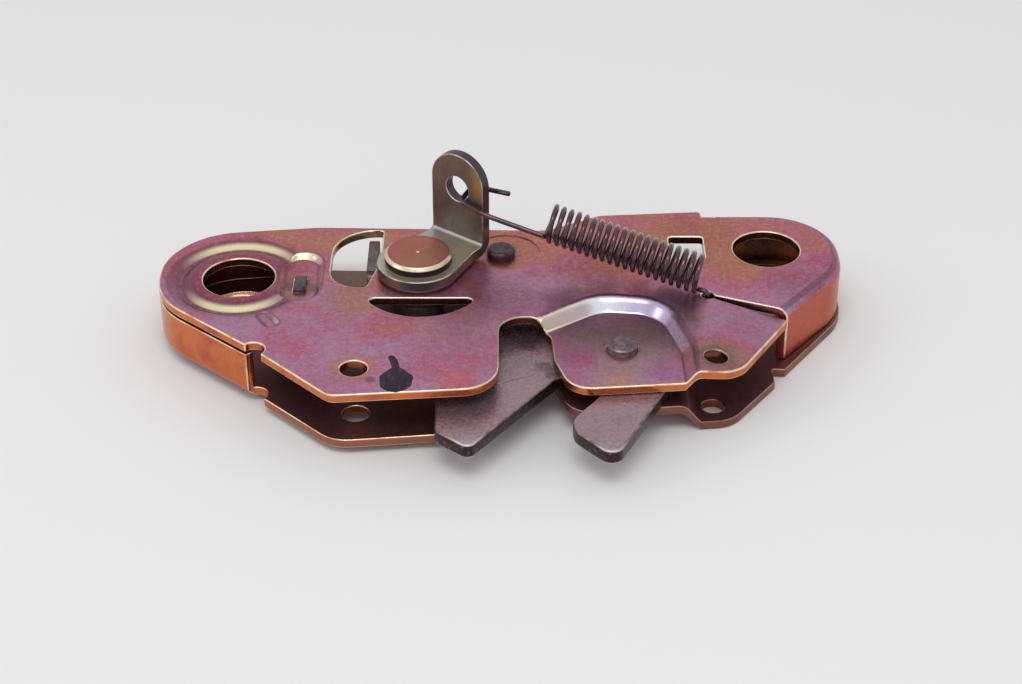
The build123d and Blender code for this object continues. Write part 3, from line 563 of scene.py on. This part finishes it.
def worn_edge_and_light(name, front):
    """Rubbed corner of the plating: pale straw gold, with painted highlights that make it whiter round the
    crescent, the rear windows and the slit, and painted shade that dulls it in the throat, in the right tooling
    hole and on the back plate's right."""
    finish = Finish(name, 0.95)
    patches = finish.noise(4.5, 3, 0.6, 0.5)
    tone = finish.ramp(patches, [
        (0.34, colour(216, 160, 122)), (0.5, colour(242, 222, 184)), (0.66, colour(234, 208, 196))])
    if front:
        # Painted highlights round the crescent, the rear windows and the slit; painted shade in the throat and
        # the right tooling hole.
        tone = finish.tinted(tone, None, (
            (throat, 8.0, 13.0, 0.5, colour(142, 112, 98)),
            (crescent, 12.0, 15.0, 0.7, colour(228, 208, 198)),
            (arc_window_back, 4.0, 6.5, 0.9, colour(250, 236, 200)),
            (square_window_back, 7.0, 9.0, 0.9, colour(250, 240, 214)),
            (sheared_slit, 8.0, 10.0, 0.8, colour(216, 206, 208)),
            (tooling_right, 3.0, 3.6, 0.7, colour(104, 84, 84))))
    else:
        # Painted shade: the back plate's edges duller towards the right.
        tone = finish.mix(finish.steps(finish.part(finish.place, 0), -0.004, 0.012, 0.0, 0.75), tone,
                          colour(112, 76, 74))
    finish.to_shader(tone, "Base Color")
    finish.to_shader(finish.steps(patches, 0.3, 0.7, 0.2, 0.34), "Roughness")
    return finish.material


def forged_steel():
    """Grey-violet steel of the catch: finely mottled, with a painted shadow of the front plate at the top of
    the slot, two greasy spots and rubbed prong ends.
    """
    finish = Finish("fork_steel", 0.75)
    upright = finish.sums("ABSOLUTE", finish.part(finish.facing, 2))
    clouds = finish.noise(6, 4, 0.62, 0.5)
    speckle = finish.noise(0.9, 4, 0.75)
    grain = finish.noise(0.5, 3, 0.7)
    tone = finish.ramp(clouds, [
        (0.30, colour(148, 128, 134)), (0.48, colour(162, 136, 146)), (0.62, colour(168, 138, 140)),
        (0.76, colour(152, 134, 128))])
    wobble = finish.sums("MULTIPLY", finish.sums("SUBTRACT", clouds, 0.5), 0.008)
    tone = finish.tinted(tone, wobble, ((fork_tips[0], 1.0, 5.5, 0.5, colour(196, 176, 192)),
                                        (fork_tips[1], 1.0, 6.5, 0.4, colour(186, 166, 186))))
    tone = finish.mix(finish.steps(upright, 0.3, 0.8), colour(50, 35, 36), tone)
    # Painted shadow of the front plate at the top of the slot, with two greasy spots by the throat.
    grease_and_shadow = finish.sums("MULTIPLY", finish.near((1.5, 8.5), 2.5, 7.0, wobble), 0.7)
    for centre, inner, outer in (((4.2, -3.0), 0.6, 2.6), ((5.8, -6.6), 0.4, 2.4)):
        spot = finish.sums("MULTIPLY", finish.near(centre, inner, outer, wobble), 0.5)
        grease_and_shadow = finish.sums("MAXIMUM", grease_and_shadow, spot)
    tone = finish.mix(grease_and_shadow, tone, colour(42, 36, 40))
    tone = finish.mix(finish.steps(speckle, 0.36, 0.50, 0.30, 0.0), tone, colour(88, 74, 78))
    tone = finish.mix(finish.steps(speckle, 0.52, 0.68, 0.0, 0.28), tone, colour(196, 172, 176))
    finish.to_shader(tone, "Base Color")
    finish.to_shader(finish.sums("ADD", finish.sums("MULTIPLY", grain, 0.25),
                                 finish.sums("MULTIPLY", speckle, 0.25)), "Roughness")
    finish.bump(finish.sums("ADD", grain, finish.sums("MULTIPLY", speckle, 1.5)), 0.06, 0.8)
    return finish.material


def fork_edge():
    """Rubbed corners of the catch, bright at the prong ends."""
    finish = Finish("fork_edge", 0.9, 0.36)
    tone = finish.ramp(finish.noise(1.6, 4, 0.7), [
        (0.36, colour(104, 86, 86)), (0.62, colour(164, 146, 144))])
    tone = finish.tinted(tone, None, ((fork_tips[0], 2.0, 7.0, 0.7, colour(226, 212, 218)),
                                      (fork_tips[1], 2.0, 6.0, 0.7, colour(220, 206, 216))))
    finish.to_shader(tone, "Base Color")
    return finish.material


def lever_zinc():
    """Grey-olive plating of the release lever: darker on its walls, with a yellow patch by the ear's hole and
    a dark cut edge round the ear."""
    finish = Finish("lever_zinc", 0.85)
    upright = finish.sums("ABSOLUTE", finish.part(finish.facing, 2))
    height = finish.part(finish.place, 2)
    clouds = finish.noise(8, 3, 0.6, 0.6)
    grain = finish.noise(0.4, 3, 0.7)
    flat = finish.ramp(clouds, [
        (0.32, colour(174, 168, 168)), (0.46, colour(184, 178, 168)), (0.58, colour(188, 182, 152)),
        (0.72, colour(178, 170, 172))])
    wall = finish.ramp(finish.sums("ADD", clouds, finish.steps(height, 0.020, 0.034, -0.08, 0.08)), [
        (0.34, colour(118, 108, 106)), (0.50, colour(134, 124, 110)), (0.66, colour(148, 138, 108))])
    across = finish.add("ShaderNodeVectorMath", operation="DOT_PRODUCT")
    finish.feed(finish.facing, across.inputs[0])
    across.inputs[1].default_value = (math.cos(lever_turn), math.sin(lever_turn), 0.0)
    raised = finish.steps(height, 0.0195, 0.0215)
    rim = finish.steps(finish.sums("ABSOLUTE", across.outputs["Value"]), 0.4, 0.7, 1.0, 0.0)
    gold = finish.near((-8.2, 33.0), 0.5, 4.2)
    gold = finish.sums("MULTIPLY", gold, finish.steps(height, 0.026, 0.031, 0.0, 0.85))
    wall = finish.mix(gold, wall, colour(204, 184, 84))
    wall = finish.mix(finish.sums("MULTIPLY", rim, raised), wall, colour(84, 70, 80))
    lying = finish.sums("SUBTRACT", finish.steps(upright, 0.35, 0.8), raised, clamp=True)
    tone = finish.mix(lying, wall, flat)
    streaks = finish.noise(0.5, 3, 0.6, 0.2, finish.stretched((1, 1, 0.12)))
    tone = finish.mix(finish.steps(streaks, 0.5, 0.75, 0.0, 0.3), tone, colour(86, 76, 76))
    finish.to_shader(tone, "Base Color")
    finish.to_shader(finish.sums("ADD", finish.sums("MULTIPLY", grain, 0.3), 0.22), "Roughness")
    finish.bump(finish.sums("ADD", grain, streaks), 0.03, 0.6)
    return finish.material


def lever_edge():
    """Bright rubbed rim of the lever and its hole."""
    finish = Finish("lever_edge", 0.95, 0.28)
    finish.to_shader(finish.ramp(finish.noise(4, 2), [
        (0.35, colour(132, 124, 116)), (0.6, colour(206, 200, 190))]), "Base Color")
    return finish.material


def stud_zinc():
    """Turned stud head: brown-orange plating, fine lathe rings and a crimson border, with a painted highlight
    on the nib and the sloping rim and painted shade on the side walls.
    """
    finish = Finish("stud_zinc", 0.95)
    upright = finish.sums("ABSOLUTE", finish.part(finish.facing, 2))
    radius = finish.away(stud)
    ring_pitch = 0.42 * mm
    rings = finish.sums("SINE", finish.sums("MULTIPLY", radius, 2 * math.pi / ring_pitch))
    clouds = finish.noise(6, 3, 0.5, 0.4)
    across = finish.steps(finish.part(finish.place, 0), -0.029, -0.017, -0.10, 0.12)
    top = finish.ramp(finish.sums("ADD", clouds, across), [
        (0.34, colour(164, 92, 82)), (0.48, colour(166, 102, 82)), (0.60, colour(156, 112, 80)),
        (0.72, colour(162, 106, 90))])
    top = finish.mix(finish.steps(radius, 0.0052, 0.0066, 0.0, 0.6), top, colour(178, 74, 90))
    top = finish.mix(finish.steps(rings, 0.2, 1.0, 0.0, 0.22), top, colour(216, 160, 136))
    # Painted highlight: a white dot on the nib.
    top = finish.mix(finish.steps(radius, 0.0002, 0.0005, 1.0, 0.0), top, colour(250, 236, 228))
    # Painted highlight on the sloping rim; painted shade on the side walls of the head and shank.
    tone = finish.mix(finish.steps(upright, 0.86, 0.97), colour(228, 212, 180), top)
    tone = finish.mix(finish.steps(upright, 0.1, 0.4), colour(66, 50, 50), tone)
    finish.to_shader(tone, "Base Color")
    finish.to_shader(finish.steps(clouds, 0.3, 0.7, 0.24, 0.38), "Roughness")
    finish.bump(rings, 0.02, 0.5)
    return finish.material


def dark_steel(name, tone_low, tone_high, roughness, size, oil=0.0):
    """Oiled dark steel of the small pieces: two close tones in patches, a fine grain and a film of oil."""
    finish = Finish(name, 0.8)
    finish.to_shader(oil, "Coat Weight")
    finish.to_shader(0.08, "Coat Roughness")
    clouds = finish.noise(size, 4, 0.65, 0.4)
    grain = finish.noise(0.35, 3, 0.7)
    finish.to_shader(finish.ramp(clouds, [(0.35, tone_low), (0.65, tone_high)]), "Base Color")
    finish.to_shader(finish.sums("ADD", finish.sums("MULTIPLY", grain, 0.3), roughness - 0.15), "Roughness")
    finish.bump(finish.sums("ADD", grain, clouds), 0.03, 0.6)
    return finish.material


def black_paint():
    """Dab of black marking paint: rather dull, with brush streaks and a dusty bloom."""
    finish = Finish("black_paint", 0.0)
    finish.to_shader(0.25, "Specular IOR Level")
    streaks = finish.noise(1.1, 4, 0.65, 0.5, finish.stretched((1, 0.4, 1), 20))
    tone = finish.ramp(streaks, [
        (0.35, colour(18, 8, 20)), (0.55, colour(44, 28, 48)), (0.75, colour(88, 66, 92))])
    finish.to_shader(tone, "Base Color")
    finish.to_shader(finish.steps(streaks, 0.3, 0.7, 0.45, 0.7), "Roughness")
    finish.bump(streaks, 0.08, 0.8)
    return finish.material


# Pieces

front_zinc = plated_zinc("front_zinc", True)
back_zinc = plated_zinc("back_zinc", False)
front_edge = worn_edge_and_light("front_edge", True)
back_edge = worn_edge_and_light("back_edge", False)
fork_finish = forged_steel()
lever_finish = lever_zinc()
rivet_steel = dark_steel("rivet_steel", colour(72, 58, 64), colour(116, 98, 106), 0.42, 1.6)
pin_steel = dark_steel("pin_steel", colour(96, 76, 84), colour(156, 130, 138), 0.42, 1.4)
tie_steel = dark_steel("tie_steel", colour(58, 42, 48), colour(96, 76, 84), 0.42, 1.6)
washer_steel = dark_steel("washer_steel", colour(92, 84, 76), colour(134, 122, 104), 0.4, 2.5)
pawl_steel = dark_steel("pawl_steel", colour(84, 74, 74), colour(124, 110, 106), 0.42, 3.0)
spring_steel = dark_steel("spring_steel", colour(54, 32, 38), colour(90, 58, 68), 0.20, 2.2, 0.9)
paint = black_paint()

softened_copy("front_plate", "front_sheet", 0.30, front_zinc, front_edge, (*coin[:2], 8.0))
softened_copy("back_plate", "back_sheet", 0.22, back_zinc, back_edge)
softened_copy("fork", "catch_fork", 0.35, fork_finish, fork_edge())
softened_copy("release_lever", "lever_arm", 0.22, lever_finish, lever_edge())
softened_copy("pawl", "pawl_arm", 0.22, pawl_steel)
softened_copy("end_strut", "strut_lugs", 0.12, rivet_steel)
for node, material in (("fork_pin", pin_steel), ("tie_pin", tie_steel), ("lever_washer", washer_steel),
                       ("pawl_spacer_back", washer_steel), ("pawl_spacer_front", washer_steel)):
    slots = frame["nodes"][node].data.materials
    slots.clear()
    slots.append(material)


def by_ear(outward, across, height):
    """Point from the stud: outward along the lever, across its ear to the right, and up."""
    along = np.array([math.cos(lever_turn), math.sin(lever_turn), 0.0])
    right = np.array([along[1], -along[0], 0.0])
    return stud + outward * along + across * right + np.array([0.0, 0.0, height])


def dress_stud():
    """Head of the stud with a shallow dished top, a lathe nib in its centre and a sloping rim, on its shank.
    The top is h = high - dish (1 - s^4) + nib exp(-(s / 0.06)^2), s running from 0 in the centre to 1."""
    head, shank, rim, corner = 7.3, 4.0, 0.68, 0.12
    bottom, low, high = 0.15, 16.32, 18.62
    dish, nib = 0.16, 0.24
    s = np.linspace(1, 0, 22)[:, None]
    top = np.concatenate([(head - rim) * s, high - dish + dish * s ** 4 + nib * np.exp(-(s / 0.06) ** 2)], 1)
    profile = np.concatenate([
        [[0, bottom], [shank - 0.4, bottom], [shank - 0.3, bottom + 0.02], [shank - 0.02, bottom + 0.35],
         [shank, bottom + 0.4], [shank, low], [shank + 0.02, low], [head - corner, low],
         [head, low + corner], [head, low + corner + 0.04], [head, high - rim - 0.1],
         [head - 0.03, high - rim], [head - rim + 0.06, high - 0.03], [head - rim, high]],
        top])
    piece = turned_surface("stud_turned", stud, profile, stud_zinc())
    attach(piece, "release")
    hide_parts("lever_stud")


def spring_path(first, turns, last, last_spacing):
    """Line of a spring's first run, turns and last run, with the numbers of stations in its two runs."""
    first, last = evened(first, 0.5), evened(last, last_spacing)
    return np.concatenate([first[:-1], turns, last[1:]]), len(first), len(last)


def dress_lever_spring():
    """Tension spring: a screw line of 20 turns, hooked through the lever's ear and down the slit's hole."""
    radius, wire = 3.825, 0.575
    left, right = np.array([5.15, 26.4, 25.3]), np.array([37.5, 17.1, 17.95])
    turns, axis = helix(left, right, 20, radius, np.array([0.0, 0.0, -1.0]))
    behind, before = 17.525, 12.275     # from the stud to the wire on either side of the ear
    in_hole = 2.02                      # from the lever's middle to the wire in the ear's hole
    ear = bent_run(np.array([
        by_ear(behind, 11.325, 28.8), by_ear(behind - 0.9, in_hole, 27.9), by_ear(before, in_hole, 26.2),
        by_ear(before, 8.325, 25.0), turns[0]]), (1.5, 1.5, 2.2))
    hole = np.array([39.15, 16.3, 0.0])
    under = 10.625                      # height of the hook below the plate
    foot = bent_run(np.array([
        turns[-1], hole + [0, 0, turns[-1][2]], hole + [0, 0, under], hole + [-0.6, 3.4, under]]), (1.3, 1.3))
    path, at_ear, at_foot = spring_path(ear, turns, foot, 0.5)
    station = np.arange(len(path))
    to_ear = np.clip((at_ear + 6 - station) / 12, 0, 1)[:, None]
    to_foot = np.clip((station - (len(path) - at_foot - 6)) / 12, 0, 1)[:, None]
    reference = axis * (1 - to_ear) * (1 - to_foot) + to_ear * np.array([0.0, 0.0, 1.0])
    reference = reference + to_foot * np.array([0.6, 0.6, 0.55])
    piece = wire_surface("tension_spring", path, reference, wire, spring_steel)
    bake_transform(piece)
    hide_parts("lever_spring")


def dress_fork_spring():
    """Torsion spring: one and a half turns round the tie pin, from the pawl's spacer to the fork's hole."""
    radius, wire, pitch, count = 3.5, 0.55, 1.15, 1.5
    low, hook_top, hook_reach = 2.65, 7.29, 24.0
    start, rise = tie + np.array([0.0, 0.0, low]), np.array([0.0, 0.0, pitch * count])
    turns, _ = helix(start, start + rise, count, radius, np.array([0.0, 1.0, 0.0]), 40)
    to_hook = math.radians(115)
    hook = fork_pivot + hook_reach * np.array([math.cos(to_hook), math.sin(to_hook), 0.0])
    last = turns[-1]
    leg = bent_run(np.array([last, [hook[0], hook[1], last[2]], [hook[0], hook[1], hook_top]]), (1.2,))
    rest = np.array([stud[0], 31.92, low])
    foot = bent_run(np.array([rest + [-2.6, -0.2, 0], rest, turns[0]]), (1.6,))
    path, _, at_leg = spring_path(foot, turns, leg, 0.4)
    to_leg = np.clip((np.arange(len(path)) - (len(path) - at_leg)) / 12, 0, 1)[:, None]
    reference = np.array([0.0, 0.0, 1.0]) * (1 - to_leg) + to_leg * np.array([0.5, -0.5, 0.0])
    piece = wire_surface("torsion_spring", path, reference, wire, spring_steel, 12)
    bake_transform(piece)
    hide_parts("fork_spring")


def dress_paint_dab():
    """Paint dab: its edge is |x / half_width|^p + |y / half_length|^p = 1, where p goes from 1.35 behind to
    2.6 in front, with ripples and a brush mark that swings left as it runs back. Its height falls as
    (1 - s^2)^0.6 from the middle out, with low ridges of the brush."""
    around, rings = 240, 22
    centre = np.array([-26.05, -14.95])
    half_width, half_length = 3.45, 4.45
    mark_length, mark_spread, mark_turn = 4.3, 0.145, math.radians(94)
    angle = np.linspace(0, 2 * np.pi, around, endpoint=False)[None, :]
    power = 1.975 - 0.625 * np.tanh(2.5 * np.sin(angle))
    edge = np.abs(np.cos(angle) / half_width) ** power + np.abs(np.sin(angle) / half_length) ** power
    edge = edge ** (-1 / power)
    ripples = 0.025 * np.sin(3 * angle + 0.6) + 0.018 * np.sin(7 * angle) + 0.008 * np.sin(13 * angle + 2)
    edge = edge * (1 + ripples)
    away = np.angle(np.exp(1j * (angle - mark_turn)))
    edge = edge + mark_length * np.exp(-(away / mark_spread) ** 4)
    s = np.sin(np.linspace(0, np.pi / 2, rings))[:, None]
    swung = angle + 0.03 * np.maximum(s * edge - 4.8, 0)
    x = centre[0] + s * edge * np.cos(swung)
    y = centre[1] + s * edge * np.sin(swung)
    ridges = 0.05 * np.sin(3.1 * x + 0.8 * y) + 0.04 * np.sin(5.3 * x - 1.1 * y + 1)
    height = (1 - s ** 2) ** 0.6 * (0.30 + ridges)
    top = np.stack([x, y, front_top - 0.02 + height], axis=2)
    under = np.stack([x, y, np.full_like(x, front_top - 0.05)], axis=2)[::-1]
    points = np.concatenate([top, under])
    piece = add_surface("paint_dab", points.reshape(-1, 3), grid_faces(2 * rings, around), paint)
    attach(piece, "housing")


dress_stud()
dress_lever_spring()
dress_fork_spring()
dress_paint_dab()


# Studio

def looking(place, aim):
    """Placement of a camera or lamp that looks from a place at a point with its top upwards."""
    turn = (aim - place).to_track_quat("-Z", "Y").to_matrix().to_4x4()
    return Matrix.Translation(place) @ turn


def set_studio():
    """Pale floor, even sky, a wide soft box and a narrow strip overhead towards the viewer, a weak box on the
    left."""
    mesh = bpy.data.meshes.new("floor")
    half, low = 3.0, -0.0017
    mesh.from_pydata([(-half, -half, low), (half, -half, low), (half, half, low), (-half, half, low)], [],
                     [(0, 1, 2, 3)])
    floor = bpy.data.objects.new("floor", mesh)
    bpy.context.scene.collection.objects.link(floor)
    pale = bpy.data.materials.new("floor_pale")
    pale.use_nodes = True
    shader = pale.node_tree.nodes["Principled BSDF"]
    shader.inputs["Base Color"].default_value = (0.78, 0.77, 0.76, 1)
    shader.inputs["Roughness"].default_value = 0.9
    mesh.materials.append(pale)
    world = bpy.data.worlds.new("studio")
    world.use_nodes = True
    background = world.node_tree.nodes["Background"]
    background.inputs["Color"].default_value = (0.80, 0.80, 0.82, 1)
    background.inputs["Strength"].default_value = 0.95
    bpy.context.scene.world = world
    for name, place, size, power in (("overhead", (-0.05, -0.30, 0.75), (0.46, 0.32), 1.25),
                                     ("strip", (-0.02, -0.36, 0.70), (0.50, 0.03), 0.55),
                                     ("left_box", (-0.75, -0.15, 0.45), (0.30, 0.30), 0.5)):
        lamp = bpy.data.lights.new(name, "AREA")
        lamp.shape = "RECTANGLE"
        lamp.size, lamp.size_y = size
        lamp.energy = power
        stand = bpy.data.objects.new(name, lamp)
        stand.matrix_world = looking(Vector(place), Vector((0, 0, 0)))
        bpy.context.scene.collection.objects.link(stand)


def set_camera():
    """Camera at the photograph's angle: 34 degrees above the bench, from the throat's side."""
    lens = bpy.data.cameras.new("viewpoint")
    lens.lens = 76.26
    lens.sensor_width = 36.0
    camera = bpy.data.objects.new("viewpoint", lens)
    eye, aim = Vector((-2.85, -372.5, 263.4)), Vector((-2.85, -1.7, front_top))
    camera.matrix_world = looking(eye * mm, aim * mm)
    bpy.context.scene.collection.objects.link(camera)
    bpy.context.scene.camera = camera


set_studio()
set_camera()
bpy.context.scene.view_settings.view_transform = "Standard"
